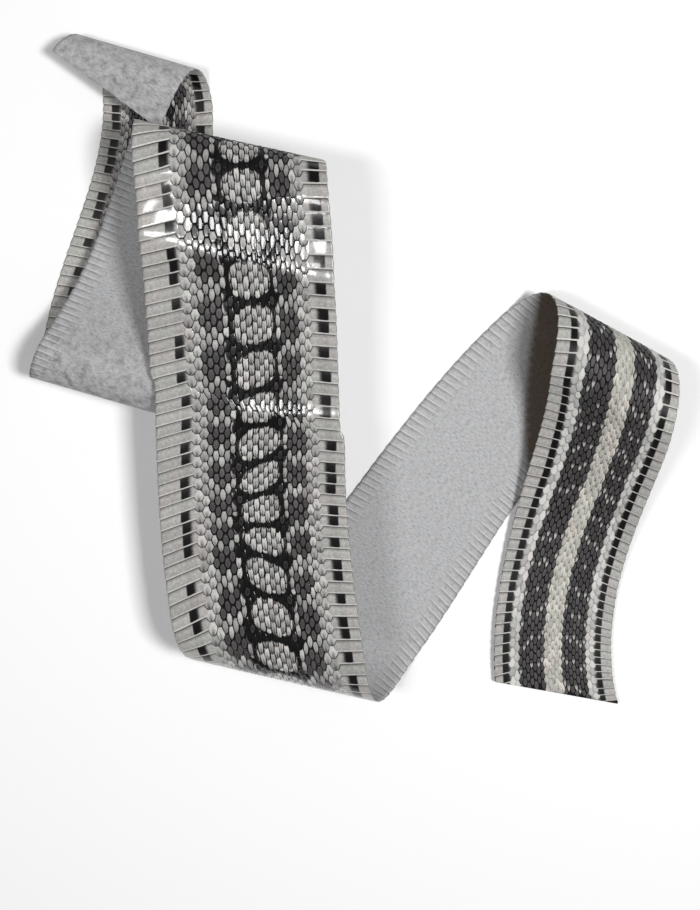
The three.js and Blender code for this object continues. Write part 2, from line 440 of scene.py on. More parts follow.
# In mm: an oval's spacing, its half length and half width, and the radius of a black node
OVAL_SPACING = 17.0
OVAL_ROUNDNESS = 2.6
OVAL_HALVES = (7.0, 9.4)
NODE_RADIUS = 2.6
# A node is longer than it is wide, because distance along the back counts by this factor
NODE_STRETCH = 0.7
# A scale whose middle is less far than this inside a node isn't black
NODE_RIM = 0.8
# How far the border of the black bows out along each scale
SCALLOP = 1.0 * MM
# The gap between patches: half its width and how it slants, in phase, and how it widens past the patches
PATCH_GAP = 0.08
GAP_SLANT = 0.07
GAP_COLUMN = 5.6
GAP_FLARE = 2
# How far the black takes or leaves whole scales rather than cutting across them
WHOLE_SCALES = 0.2
# A blotch: its reach in phase, how that grows with the column, and how ragged its edge is
BLOTCH_REACH = 0.32
BLOTCH_FLARE = 0.02
BLOTCH_MIDDLE = 7.5
BLOTCH_RAGGED = 0.06
# The pale flecks of the tail lie in slanting lines, and some are left out
FLECK_SPACING = 13.5 * MM
FLECK_SLANT = 0.55
FLECK_REACH = 0.16
FLECKS_MISSING = 0.25


def side_of(column, left, right):
    return np.where(column < MIDDLE_COLUMN, left, right)


def node_distance(from_spine, own):
    """How far in mm from the edge of the black node beside an oval."""
    across = (np.abs(from_spine) - NODE_COLUMN) * BACK_COLUMN_WIDTH
    return np.hypot(across, NODE_STRETCH * OVAL_SPACING * apart(own, 0)) - NODE_RADIUS


def ink_distance(s, v, a):
    """How far in mm a point of the blotched part lies outside the black round its ovals and patches."""
    column = np.interp(place_of(s, v), COLUMN_PLACES, np.arange(COLUMNS))
    from_spine = column - MIDDLE_COLUMN
    aside = np.abs(from_spine)
    scalloped = s - SCALLOP * (1 - a * a)
    left, right = node_phase(LEFT_NODES, scalloped), node_phase(RIGHT_NODES, scalloped)
    mixed = left + (right - left) * np.clip(from_spine / OVAL_COLUMNS + 0.5, 0, 1)
    own = side_of(column, left, right)
    along = (np.mod(mixed, 1) - 0.5) * OVAL_SPACING / OVAL_HALVES[0]
    across = from_spine * BACK_COLUMN_WIDTH / OVAL_HALVES[1]
    powers = np.abs(along) ** OVAL_ROUNDNESS + np.abs(across) ** OVAL_ROUNDNESS
    from_centre = powers ** (1 / OVAL_ROUNDNESS)
    in_oval = (1 - from_centre) * OVAL_HALVES[1]
    gap_phase = side_of(column, LEFT_PHASES["gap"], RIGHT_PHASES["gap"])
    gap = OVAL_SPACING * (apart(own + GAP_SLANT * (aside - GAP_COLUMN), gap_phase) - PATCH_GAP)
    gap = gap + GAP_FLARE * np.maximum(aside - PATCH_COLUMNS[1], 0)
    in_patch = np.minimum((aside - PATCH_COLUMNS[0]) * BACK_COLUMN_WIDTH, gap)
    in_patch = np.minimum(in_patch, node_distance(from_spine, own))
    return np.maximum(in_oval, in_patch)


def kinds_of(column, s, v, chance):
    """The kind of each small scale, as its number in KIND_NAMES."""
    number = {name: i for i, name in enumerate(KIND_NAMES)}
    from_spine = column - MIDDLE_COLUMN
    aside = np.abs(from_spine)
    own = side_of(column, node_phase(LEFT_NODES, s), node_phase(RIGHT_NODES, s))
    blotch = apart(own, side_of(column, LEFT_PHASES["blotch"], RIGHT_PHASES["blotch"]))
    blotch_edge = BLOTCH_REACH - BLOTCH_FLARE * (aside - BLOTCH_MIDDLE) - BLOTCH_RAGGED * (chance - 0.5)
    dark = blotch < blotch_edge
    in_node = node_distance(from_spine, own) < -NODE_RIM

    blotched = np.full(column.shape, number["oval"])
    blotched = np.where(aside > NODE_COLUMN, number["patch"], blotched)
    blotched = np.where(in_node, number["node"], blotched)
    flank = np.where(dark, number["blotch"], number["between"])
    blotched = np.where(aside > BLOTCH_COLUMNS[0], flank, blotched)
    blotched = np.where(aside > BLOTCH_COLUMNS[1], number["side"], blotched)

    back = FLECK_SLANT * np.abs(v - back_v(1.0, s))
    fleck = (apart((s - back) / FLECK_SPACING, 0) < FLECK_REACH) & (chance > FLECKS_MISSING)
    striped = np.where(fleck, number["fleck"], number["dark"])
    striped = np.where(aside < STRIPE_COLUMNS, number["stripe"], striped)
    striped = np.where(aside > BLOTCH_COLUMNS[1], number["pale_side"], striped)
    return np.where(s < STRIPES_FROM, blotched, striped)


# The skin between the scales: how many columns from the spine its marks reach, and their tones
SKIN_COLUMNS = {"blotches": 9.4, "stripe": 2.6, "dark stripes": 9.3}
SKIN_TONES = {"blotches": 0.02, "sides": 0.3, "dark stripes": 0.0, "stripe": 0.8, "pale sides": 0.7,
              "scutes": 0.2}


def skin_tone(s, v):
    """Tone of the skin between the scales."""
    place = place_of(s, v)
    column = np.interp(place, COLUMN_PLACES, np.arange(COLUMNS))
    aside = np.abs(column - MIDDLE_COLUMN)
    on_blotches = np.where(aside < SKIN_COLUMNS["blotches"], SKIN_TONES["blotches"], SKIN_TONES["sides"])
    beside_stripe = np.where(aside < SKIN_COLUMNS["dark stripes"], SKIN_TONES["dark stripes"],
                             SKIN_TONES["pale sides"])
    on_stripes = np.where(aside < SKIN_COLUMNS["stripe"], SKIN_TONES["stripe"], beside_stripe)
    tone = np.where(s < STRIPES_FROM, on_blotches, on_stripes)
    return np.where((place < 0) | (place > 2), SKIN_TONES["scutes"], tone)


# Stations in mm of the dark marks on the belly scutes, left and right, along the back and its bends
LEFT_MARKS = [412, 424, 430, 436, 448, 460, 470, 477, 489, 500, 511, 517, 527, 532, 542, 547, 557, 563,
              575, 588, 593, 607, 613, 625, 631]
RIGHT_MARKS = [409, 415, 427, 438, 450, 456, 468, 479, 490, 495, 512, 522, 531, 536, 546, 552, 563, 573,
               579, 590, 602, 608, 620, 632]
NEAREST_MARK = 2.9 * MM
# The inner edge of a mark is softer than the outer one by this factor
MARK_FADE = 0.3
# Where no marks are listed, this share of the scutes has one
MARKED_SHARE = 0.62
# How ragged the blotched part's marks are, and how far off ink a scute with no mark is, in mm
MARK_RAGGED = 0.9
UNMARKED = 0.35


def marked(s, middle_of_row, on_left, chance):
    """Whether a belly scute has a dark mark."""
    def near(marks):
        stations = np.array(marks) * MM
        distance = np.abs(middle_of_row[..., None] - stations).min(-1)
        after_first = middle_of_row > stations[0] - NEAREST_MARK
        before_last = middle_of_row < stations[-1] + NEAREST_MARK
        return np.where(after_first & before_last, distance < NEAREST_MARK, chance < MARKED_SHARE)
    on_blotches = np.where(on_left, near(LEFT_MARKS), near(RIGHT_MARKS))
    return (s > STRIPES_FROM) | on_blotches


def mark_distance(row, s, v, chance):
    """How far in mm a point of a belly scute lies outside its dark mark."""
    on_left = v > 0
    out = np.where(on_left, v - back_v(0.0, s), back_v(2.0, s) - v) / MM
    inner, outer = (np.where(on_left, along_knots(left, s), along_knots(right, s))
                    for left, right in zip(LEFT_MARK_ENDS, RIGHT_MARK_ENDS))
    ragged = np.where(s > STRIPES_FROM, 0, MARK_RAGGED * (chance - 0.5))
    distance = np.maximum(MARK_FADE * (inner + ragged - out), out - outer - ragged)
    has_mark = marked(s, station_of(row + 0.5) + 0 * s, on_left, chance)
    return np.where(has_mark, distance, np.maximum(distance, 0) + UNMARKED)


# Meshes

# The maps: a lane's width, the room at its ends, and the length that is 1 in the map named lie
LANE_WIDTH = 96 * MM
LANE_ROOM = 7 * MM
LIE_UNIT = 100 * MM


def bake_map(face_s, corner_s, corner_v, side, sides):
    """Places in the unit square for the strip, cut into lanes laid one under the other."""
    lanes = max(1, round(math.sqrt(SHEET_LENGTH / (sides * LANE_WIDTH))))
    lane_length = SHEET_LENGTH / lanes
    lane = np.clip((face_s // lane_length).astype(int), 0, lanes - 1)
    x = corner_s - lane * lane_length + LANE_ROOM
    y = (lane + lanes * side + 0.5) * LANE_WIDTH + corner_v
    size = max(lane_length + 2 * LANE_ROOM, lanes * sides * LANE_WIDTH)
    return x / size, y / size


def build_mesh(name, points, quads, s, v, side, sides, attributes, materials, material_index=None):
    """An object from quads, with its own (s, v) maps and one float attribute for each given name."""
    points, s, v = points.reshape(-1, 3), s.ravel(), v.ravel()
    mesh = bpy.data.meshes.new(name)
    mesh.vertices.add(len(points))
    mesh.vertices.foreach_set("co", points.astype(np.float32).ravel())
    mesh.loops.add(quads.size)
    mesh.loops.foreach_set("vertex_index", quads.astype(np.int32).ravel())
    mesh.polygons.add(len(quads))
    mesh.polygons.foreach_set("loop_start", np.arange(0, quads.size, 4, dtype=np.int32))
    mesh.polygons.foreach_set("use_smooth", np.ones(len(quads), bool))
    if material_index is not None:
        mesh.polygons.foreach_set("material_index", material_index.astype(np.int32))
    mesh.update(calc_edges=True)
    for key, values in attributes.items():
        attribute = mesh.attributes.new(key, "FLOAT", "POINT")
        attribute.data.foreach_set("value", np.ascontiguousarray(values, np.float32).ravel())
    corner_s, corner_v = s[quads], v[quads]
    face_s = corner_s.mean(1, keepdims=True)
    baked = np.stack(bake_map(face_s, corner_s, corner_v, side, sides), -1)
    lie = np.stack([corner_s, corner_v], -1) / LIE_UNIT
    for layer, places in (("OFBake", baked), ("lie", lie)):
        mesh.uv_layers.new(name=layer).data.foreach_set("uv", places.astype(np.float32).ravel())
    for material in materials:
        mesh.materials.append(material)
    mesh.validate()
    obj = bpy.data.objects.new(name, mesh)
    bpy.context.scene.collection.objects.link(obj)
    return obj


def matt_faces(s, quads, glossy):
    """1 for the faces that lie outside the glossy stretch, else 0."""
    station = s.ravel()[quads].mean(1)
    return ((station < glossy[0]) | (station > glossy[1])).astype(int)


def patch_quads(count, rows, columns):
    """Quads of many patches, each a grid of rows by columns points."""
    i, r, c = np.meshgrid(np.arange(count), np.arange(rows - 1), np.arange(columns - 1), indexing="ij")
    a = (i * rows + r) * columns + c
    return np.stack([a, a + columns, a + columns + 1, a + 1], -1).reshape(-1, 4)


# The sheet itself

STATIONS_PER_ROW = 6
SKIN_TOP = 0.5 * MM
SKIN_EDGE = 0.32 * MM
# The sheet thins over this share of its half width
SKIN_EDGE_SHARE = 0.1
# The points across, in shares of the half width: left to right on top, and back on the flesh side
TOP_SHARES = np.linspace(1, -1, 21)
FLESH_SHARES = np.r_[np.linspace(-1, -0.6, 11), np.linspace(-0.6, 0.6, 13)[1:-1], np.linspace(0.6, 1, 11)]

# Nothing on the flesh side is set deeper into the sheet than a wrinkle
WRINKLE_DEPTH = 0.3 * MM
WRINKLE_REACH = 12.5 * MM
WRINKLE_SLANT = 0.25
WRINKLE_SHARPNESS = 0.5
CREASES_PER_ROW = 1.6
# Where the flesh side is mottled: station, reach and amount
MOTTLED = [(205 * MM, 40 * MM, 1.4), (10 * MM, 35 * MM, 0.9)]
# The wrinkles are fainter ahead of this station, down to this share
WRINKLES_FULL_FROM = 90 * MM
FAINTEST_WRINKLES = 0.15
# Painted shadow, brown, on the flesh side inside the tail's far bend, where the loop is in shade: the slant
# of its edge, its reach past the bend, and its soft edges
LOOP_SHADOW_SLANT = 1.2
LOOP_SHADOW_BEFORE, LOOP_SHADOW_AFTER = 26 * MM, 30 * MM
LOOP_SHADOW_EDGE, LOOP_SHADOW_FADE = 5 * MM, 20 * MM
# Shallow waves of the flesh side: length, phase and depth, and how they slant
SHEET_WAVES = [(31 * MM, 0.3, 0.05 * MM), (17 * MM, 1.9, 0.04 * MM)]
WAVE_SLANT = 9 * MM
# The ink distance where no ink is near, and the lot that is neither dark nor pale
NO_INK = 9
MIDDLE_LOT = 0.5


def crease_row(s, v):
    """The row number of a place on the flesh side, whole at each crease."""
    return CREASES_PER_ROW * row_at(s - leaning(s, v) - WRINKLE_SLANT * (width_at(s) / 2 - np.abs(v)))


def by_edge(s, v):
    """1 at the long edges of the sheet, falling to 0 where the creases end."""
    fainter_at_head = np.clip(s / WRINKLES_FULL_FROM, FAINTEST_WRINKLES, 1)
    return fainter_at_head * np.clip(1 - (width_at(s) / 2 - np.abs(v)) / WRINKLE_REACH, 0, 1)


def mottled(s):
    """Darker mottling on the flesh side, about the near bend of the neck and on the head flap."""
    return sum(amount * np.exp(-(((s - at) / reach) ** 2)) for at, reach, amount in MOTTLED)


def loop_shadow(s, v):
    """0 to 1: painted shadow that darkens the flesh side brown in the far bend of the tail, inside the
    loop.
    """
    bend = RUNS["far bend of the tail"]
    into = np.clip((s - bend["start"] - LOOP_SHADOW_SLANT * v + LOOP_SHADOW_BEFORE) / LOOP_SHADOW_EDGE, 0, 1)
    return into * np.clip((bend["end"] + LOOP_SHADOW_AFTER - s) / LOOP_SHADOW_FADE, 0, 1)


def flesh_height(s, v):
    """How far the flesh side is set into the sheet by its creases and waves."""
    waves = sum(depth * (1 + np.sin(s / length * 2 * math.pi + phase + v / WAVE_SLANT))
                for length, phase, depth in SHEET_WAVES)
    crease = 1 - np.abs(np.sin(math.pi * crease_row(s, v))) ** WRINKLE_SHARPNESS
    return np.minimum(WRINKLE_DEPTH * (crease * np.sqrt(by_edge(s, v))) + waves, WRINKLE_DEPTH)


def plain_attributes(tone):
    """The attributes of a plain surface."""
    none = np.zeros(tone.shape)
    return {"body": tone, "margin": tone, "across": none, "along": none, "slit": none,
            "ink": none + NO_INK, "warm": none, "lot": none + MIDDLE_LOT}


def make_skin(top_material, flesh_material):
    fine_rows = np.linspace(0, len(ROWS) - 1, (len(ROWS) - 1) * STATIONS_PER_ROW + 1)
    s = np.interp(fine_rows, ROW_NUMBERS, ROWS)[:, None]
    half = width_at(s) / 2
    slope = TAIL_CUT_SLOPE * np.maximum(0, 1 - (SHEET_LENGTH - s) / TAIL_CUT_REACH)
    tooth = EDGE_TOOTH * np.mod(row_at(s), 1)

    def ring(shares):
        shares = shares[None, :]
        v = shares * half + np.where(np.abs(shares) == 1, np.sign(shares) * tooth, 0)
        at = s + slope * v
        return at + leaning(at, v), v

    top_s, top_v = ring(TOP_SHARES)
    flesh_s, flesh_v = ring(FLESH_SHARES)
    near_edge = np.clip((1 - np.abs(TOP_SHARES)) / SKIN_EDGE_SHARE, 0, 1)[None, :]
    top_h = SKIN_EDGE + (SKIN_TOP - SKIN_EDGE) * near_edge + 0 * top_s
    flesh_h = flesh_height(flesh_s, flesh_v)
    all_s = np.concatenate([top_s, flesh_s], 1)
    all_v = np.concatenate([top_v, flesh_v], 1)
    points = sheet_points(all_s, all_v, np.concatenate([top_h, flesh_h], 1))

    rings, around = all_s.shape
    r, k = np.meshgrid(np.arange(rings - 1), np.arange(around), indexing="ij")
    here, there = r * around, (r + 1) * around
    after = (k + 1) % around
    sides = np.stack([here + k, there + k, there + after, here + after], -1)
    on_top = (k < len(TOP_SHARES) - 1).ravel()
    caps = np.vstack([end_cap(0, True), end_cap((rings - 1) * around, False)])
    quads = np.vstack([sides.reshape(-1, 4), caps])
    material_index = np.r_[np.where(on_top, 0, 1), np.ones(len(caps), int)]

    tone = skin_tone(all_s, all_v)
    attributes = {
        **plain_attributes(tone),
        "row": crease_row(all_s, all_v),
        "by_edge": by_edge(all_s, all_v),
        "mottle": mottled(all_s),
        # painted shadow inside the tail's far bend
        "brown": loop_shadow(all_s, all_v),
    }
    return build_mesh("skin_sheet", points, quads, all_s, all_v, material_index[:, None], 2, attributes,
                      [top_material, flesh_material], material_index)


def end_cap(first, at_head):
    """Faces that close a cut end. The ones with three corners, where the flesh side has more points,
    come last, as quads with a corner twice."""
    tops, fleshes = len(TOP_SHARES), len(FLESH_SHARES)
    flesh = np.arange(fleshes)[::-1] + tops
    steps = [round(i * (fleshes - 1) / (tops - 1)) for i in range(tops)]
    quads = [[i, i + 1 if j == steps[i + 1] - 1 else i, flesh[j + 1], flesh[j]]
             for i in range(tops - 1) for j in range(steps[i], steps[i + 1])]
    quads = np.array(sorted(quads, key=lambda quad: len(set(quad)) < 4))
    return first + (quads if at_head else quads[:, ::-1])


# Small scales

SCALE_FOOT = 0.46 * MM
SCALE_LIFT = 0.34 * MM
BACK_CROWN = 0.08 * MM
FLANK_CROWN = 0.13 * MM
SCALE_KEEL = 0.04 * MM
SKIRT = 0.3 * MM
# The slanting tail end has this many more rows on its longer side
ROWS_PAST_THE_END = 5
# Along a scale from foot to tip, and how wide it is there
SCALE_ALONG = np.array([0, 0.2, 0.42, 0.64, 0.84, 1.0])
SCALE_WIDTHS = np.array([0.62, 0.9, 1.0, 0.93, 0.7, 0.28])
SCALE_ACROSS = np.array([-1, -0.55, 0, 0.55, 1])
# Where along itself a scale sits on its row
SCALE_CENTRE = 0.46
# The stretch of a half wave that a scale's crown follows along it
CROWN_FROM, CROWN_SPAN = 0.12, 0.8
# Scales are left out this near the two cut ends
CLEAR_OF_HEAD_END, CLEAR_OF_TAIL_END = 0.5 * MM, 0.8 * MM
# Chance from scale to scale: place in rows, length and width, turn, ink and tone
PLACE_SPREAD, SHAPE_SPREAD, TURN_SPREAD, INK_SPREAD = 0.035, 0.05, 0.05, 0.8
TONE_FROM, TONE_SPREAD = 0.84, 0.22
# The slit at a scale's tip: its reach across and along, and the share of the stripe with none
SLIT_REACH = (0.4, 0.42)
NO_SLIT_SHARE = 0.3
# A fleck is the pale tip of a scale
FLECK_TONE, FLECK_FROM = 0.78, 0.6


def with_skirt(along, across):
    """Places across and along a scale, and which of them are on the skirt round three sides."""
    along, across = np.r_[along, along[-1]], np.r_[across[0], across, across[-1]]
    b, a = np.meshgrid(along, across, indexing="ij")
    skirt = np.zeros(b.shape, bool)
    skirt[-1, :] = skirt[:, 0] = skirt[:, -1] = True
    return a, b, skirt


def make_small_scales(name, columns, materials, rng):
    rows = np.arange(-1, len(ROWS) + ROWS_PAST_THE_END)
    column, row = (a.ravel() for a in np.meshgrid(columns, rows, indexing="ij"))
    half_row = np.where(column % 2 == 1, 0.5, 0.0)
    centre_s = station_of(row + half_row + rng.normal(0, PLACE_SPREAD, column.size))
    centre_v = back_v(COLUMN_PLACES[column], centre_s)
    kept = (centre_s > CLEAR_OF_HEAD_END) & (centre_s < tail_cut(centre_v) - CLEAR_OF_TAIL_END)
    column, centre_s, centre_v = (a[kept] for a in (column, centre_s, centre_v))
    chance = rng.random(column.size)
    kind = kinds_of(column, centre_s, centre_v, chance)
    body, margin, reach, spread, slit, rows_long, columns_wide = KIND_VALUES[kind].T
    shape = rng.normal(1, SHAPE_SPREAD, (2, column.size))
    turn = rng.normal(0, TURN_SPREAD, column.size)
    a, b, skirt = with_skirt(SCALE_ALONG, SCALE_ACROSS)
    widths = np.r_[SCALE_WIDTHS, SCALE_WIDTHS[-1]]

    def each(values):
        return values[:, None, None]

    s = station_of(each(row_at_wide(centre_s)) + (b - SCALE_CENTRE) * each(rows_long * shape[0]))
    edges = [back_v(COLUMN_PLACES[column] + side * COLUMN_SHARES[column] / 2, centre_s) for side in (-1, 1)]
    half_width = each((edges[0] - edges[1]) / 2 * columns_wide * shape[1]) * widths[None, :, None]
    v = back_v(each(COLUMN_PLACES[column]), s) - a * half_width + each(turn) * (s - each(centre_s))
    s = trimmed(s, v)
    on_back = np.abs(column - MIDDLE_COLUMN) <= FLANK_COLUMNS + 1
    crown = each(np.where(on_back, BACK_CROWN, FLANK_CROWN))
    dome = (1 - a * a) * np.sin(math.pi * (CROWN_FROM + CROWN_SPAN * b)) * crown
    h = SCALE_FOOT + SCALE_LIFT * b + dome + each(np.where(on_back, SCALE_KEEL, 0)) * (a == 0)
    h = np.where(skirt, SKIRT, h)

    at_tip = np.exp(-((a / SLIT_REACH[0]) ** 2) - ((b - 1) / SLIT_REACH[1]) ** 2)
    whole = ink_distance(centre_s, centre_v, 0)
    ink = (1 - WHOLE_SCALES) * ink_distance(s, v, a) + WHOLE_SCALES * each(whole)
    ink = np.where(each(centre_s) < STRIPES_FROM, ink, NO_INK)
    in_node, in_stripe, in_fleck = (kind == KIND_NAMES.index(name) for name in ("node", "stripe", "fleck"))
    ink = np.where(each(in_node), NO_INK, ink + each(INK_SPREAD * (chance - 0.5)))
    ink = np.where(each(np.abs(column - MIDDLE_COLUMN)) > BLOTCH_COLUMNS[0], NO_INK, ink)
    slit = np.where(in_stripe & (chance < NO_SLIT_SHARE), 0, slit)
    tone = each(body * (TONE_FROM + TONE_SPREAD * chance))
    every = np.ones(s.shape)
    attributes = {
        "body": np.maximum(tone, FLECK_TONE * each(in_fleck) * (b > FLECK_FROM)),
        "margin": each(margin) * every,
        "across": a / each(spread),
        "along": (b - 0.5) / each(reach),
        "slit": each(slit) * at_tip,
        "ink": ink,
        "warm": each(in_stripe) * every,
        "lot": each(chance) * every,
    }
    points = sheet_points(s, v, h)
    quads = patch_quads(len(column), *a.shape)
    return build_mesh(name, points, quads, s, v, 0, 1, attributes, materials,
                      matt_faces(s, quads, GLOSSY_SCALES))


# Belly scutes

SCUTE_ALONG = np.array([0, 0.13, 0.2, 0.4, 0.64, 0.88, 0.93, 1.0])
SCUTE_ACROSS = np.linspace(0, 1, 21)
SCUTE_OVERLAP = 1.14
SCUTE_LIFT = 0.34 * MM
SCUTE_FOOT = 0.3 * MM
SCUTE_LIFT_POWER = 0.8
SCUTE_SKIRT = 0.2 * MM
# The round inner end: its reach and start, and its middle and half length
SCUTE_REACH_IN, SCUTE_START = 1.6 * MM, 0.5 * MM
SCUTE_ROUND_AT, SCUTE_ROUND_HALF = 0.55, 0.62
SCUTE_EDGE_ROOM = 0.1 * MM
# Scutes that pass the tail's cut at this share of the half width are left out
SCUTE_CUT_SHARE = 0.85
# Its pad, which falls off over these shares at both ends, its crown and its dropped tip
PAD_HEIGHT, PAD_OUTER_END, PAD_INNER_END = 0.12 * MM, 0.12, 0.08
SCUTE_CROWN = 0.07 * MM
TIP_DROP, TIP_FROM = 0.05 * MM, 0.95
# Its waves: height, and turn in radians from end to end and from row to row
SCUTE_WAVE, WAVE_TURN, WAVE_ROW_TURN = 0.03 * MM, 9, 1.7
# Its tone along it, dark at its foot as painted shadow below the tip of the scute ahead, and its pale rim
SCUTE_TONES_AND_SHADOW = [(0, 0.18), (0.13, 0.23), (0.2, 0.6), (0.4, 0.8), (0.88, 0.73)]
RIM_FROM, RIM_FADE, RIM_TONE, RIM_OFF_INK = 0.88, 0.05, 0.22, 1.5
SCUTE_WARMTH = 0.25


def make_scutes(materials, rng):
    rows = np.arange(0, len(ROWS) + ROWS_PAST_THE_END)
    row, side = (a.ravel() for a in np.meshgrid(rows, np.array([1, -1]), indexing="ij"))
    kept = station_of(row + 0.5) < tail_cut(side * SCUTE_CUT_SHARE * width_at(station_of(row)) / 2)
    row, side = (values[kept][:, None, None] for values in (row, side))
    chance = rng.random(row.shape)
    a, b, skirt = with_skirt(SCUTE_ALONG, SCUTE_ACROSS)

    s = station_of(row + b * SCUTE_OVERLAP)
    half = width_at(s) / 2
    rounded = np.sqrt(np.clip(1 - ((b - SCUTE_ROUND_AT) / SCUTE_ROUND_HALF) ** 2, 0, 1))
    start = side * back_v(np.where(side > 0, 0.0, 2.0), s) - SCUTE_REACH_IN * rounded + SCUTE_START
    tooth = EDGE_TOOTH * np.clip(b, 0, 1)
    v = side * (start + (half + tooth - SCUTE_EDGE_ROOM - start) * a)
    s = trimmed(s + leaning(s, v), v)
    outer_end = np.clip((1 - a) / PAD_OUTER_END, 0, 1)
    inner_end = np.clip(a / PAD_INNER_END, 0, 1)
    wave = SCUTE_WAVE * np.sin(a * WAVE_TURN + row * WAVE_ROW_TURN)
    h = SCUTE_FOOT + PAD_HEIGHT * outer_end * inner_end + SCUTE_LIFT * b ** SCUTE_LIFT_POWER + wave
    h = h + SCUTE_CROWN * np.sin(math.pi * b) - TIP_DROP * (b > TIP_FROM)
    h = np.where(skirt, SCUTE_SKIRT, h)

    lot = chance * np.ones(s.shape)
    ink = mark_distance(row, s, v, lot)
    rim = np.clip((b - RIM_FROM) / RIM_FADE, 0, 1) * np.ones(s.shape)
    tone = np.interp(b, *zip(*SCUTE_TONES_AND_SHADOW)) + RIM_TONE * rim
    # The skirt at the free edge is painted black: a painted shadow line beneath the tip
    tone = np.where(skirt & (b >= 1), 0.0, tone)
    attributes = {**plain_attributes(tone), "ink": ink + RIM_OFF_INK * rim,
                  "warm": SCUTE_WARMTH + 0 * tone, "lot": lot}
    points = sheet_points(s, v, h)
    quads = patch_quads(row.size, *a.shape).reshape(row.size, -1, 4)
    quads = np.where(side > 0, quads[:, :, ::-1], quads).reshape(-1, 4)
    return build_mesh("belly_scutes", points, quads, s, v, 0, 1, attributes, materials,
                      matt_faces(s, quads, GLOSSY_SCUTES))


# Materials


class Nodes:
    """Short names for adding and joining the nodes of one material."""

    def __init__(self, name):
        self.material = bpy.data.materials.new(name)
        self.material.use_nodes = True
        self.tree = self.material.node_tree
        self.shader = self.tree.nodes["Principled BSDF"]

    def add(self, kind, inputs=(), **settings):
        node = self.tree.nodes.new(kind)
        for key, value in settings.items():
            setattr(node, key, value)
        self.fill(node, dict(inputs))
        return node

    def fill(self, node, inputs):
        """Links or sets the node's inputs, given by name or by number."""
        for key, value in inputs.items():
            if isinstance(value, bpy.types.NodeSocket):
                self.tree.links.new(value, node.inputs[key])
            else:
                node.inputs[key].default_value = value

    def attribute(self, name):
        return self.add("ShaderNodeAttribute", attribute_name=name).outputs["Fac"]

    def lie(self, along=1.0, across=1.0):
        """The place on the sheet, 1 for each 100 mm, stretched."""
        uv = self.add("ShaderNodeUVMap", uv_map="lie").outputs["UV"]
        return self.add("ShaderNodeMapping", {"Vector": uv, "Scale": (along, across, 1)}).outputs["Vector"]

    def noise(self, vector, scale, detail=3.0, roughness=0.6):
        inputs = {"Vector": vector, "Scale": scale, "Detail": detail, "Roughness": roughness}
        return self.add("ShaderNodeTexNoise", inputs).outputs["Fac"]

    def ramp(self, value, stops):
        node = self.add("ShaderNodeValToRGB", {"Fac": value})
        elements = node.color_ramp.elements
        while len(elements) < len(stops):
            elements.new(0.5)
        for element, (position, colour) in zip(elements, stops):
            element.position = position
            element.color = (*colour, 1)
        return node.outputs["Color"]

    def map(self, value, low, high, to_low, to_high):
        inputs = {"Value": value, "From Min": low, "From Max": high, "To Min": to_low, "To Max": to_high}
        return self.add("ShaderNodeMapRange", inputs).outputs["Result"]

    def mix(self, factor, a, b, blend="MIX"):
        a, b = ((*colour, 1) if isinstance(colour, tuple) else colour for colour in (a, b))
        inputs = {0: factor, 6: a, 7: b}
        return self.add("ShaderNodeMix", inputs, data_type="RGBA", blend_type=blend).outputs[2]

    def math(self, operation, a, b, clamped=False):
        node = self.add("ShaderNodeMath", {0: a, 1: b}, operation=operation, use_clamp=clamped)
        return node.outputs[0]

    def bump(self, height, strength, distance, normal=None):
        inputs = {"Height": height, "Strength": strength, "Distance": distance}
        if normal is not None:
            inputs["Normal"] = normal
        return self.add("ShaderNodeBump", inputs).outputs["Normal"]


BLACK_INK = (0.0045, 0.004, 0.004)
GREY_BROWN = (0.085, 0.078, 0.079)
GREY_SCALE = (0.335, 0.328, 0.318)
PALE_SCALE = (0.6, 0.59, 0.565)
CREAM = (1.03, 1.015, 0.955)
# The colour of each tone, and the faint drift of the colour along the skin
TONE_COLOURS = [(0.0, BLACK_INK), (0.08, BLACK_INK), (0.4, GREY_BROWN), (0.75, GREY_SCALE),
                (1.0, PALE_SCALE)]
DRIFT_COLOURS = [(0.35, (0.97, 1.0, 0.985)), (0.5, (1, 1, 1)), (0.65, (1.02, 0.985, 0.995))]

# Most values of a noise lie in the wider range
NOISE_RANGE, SOFT_RANGE = (0.3, 0.7), (0.35, 0.65)
# A scale's body: how square and frayed it is, and where it meets the margin
BODY_SQUARENESS, BODY_FRAYING, BODY_BORDER = 2.2, 0.18, (0.72, 1.15)
# The rim of a dark body is lighter, and that of a pale one darker
RIM_SPAN, DARK_TO_PALE, RIM_CHANGES = (0.1, 0.9), (0.3, 0.7), (0.08, -0.06)
INK_RAGGED, INK_BORDER = 0.35, (-0.15, 0.3)
SPECKLE_TONES, CLOUD_TONES, LOT_TONES = (0.87, 1.1), (0.91, 1.07), (0.9, 1.08)
SMOOTHER_BY, ROUGHER_BY = 0.05, 0.08


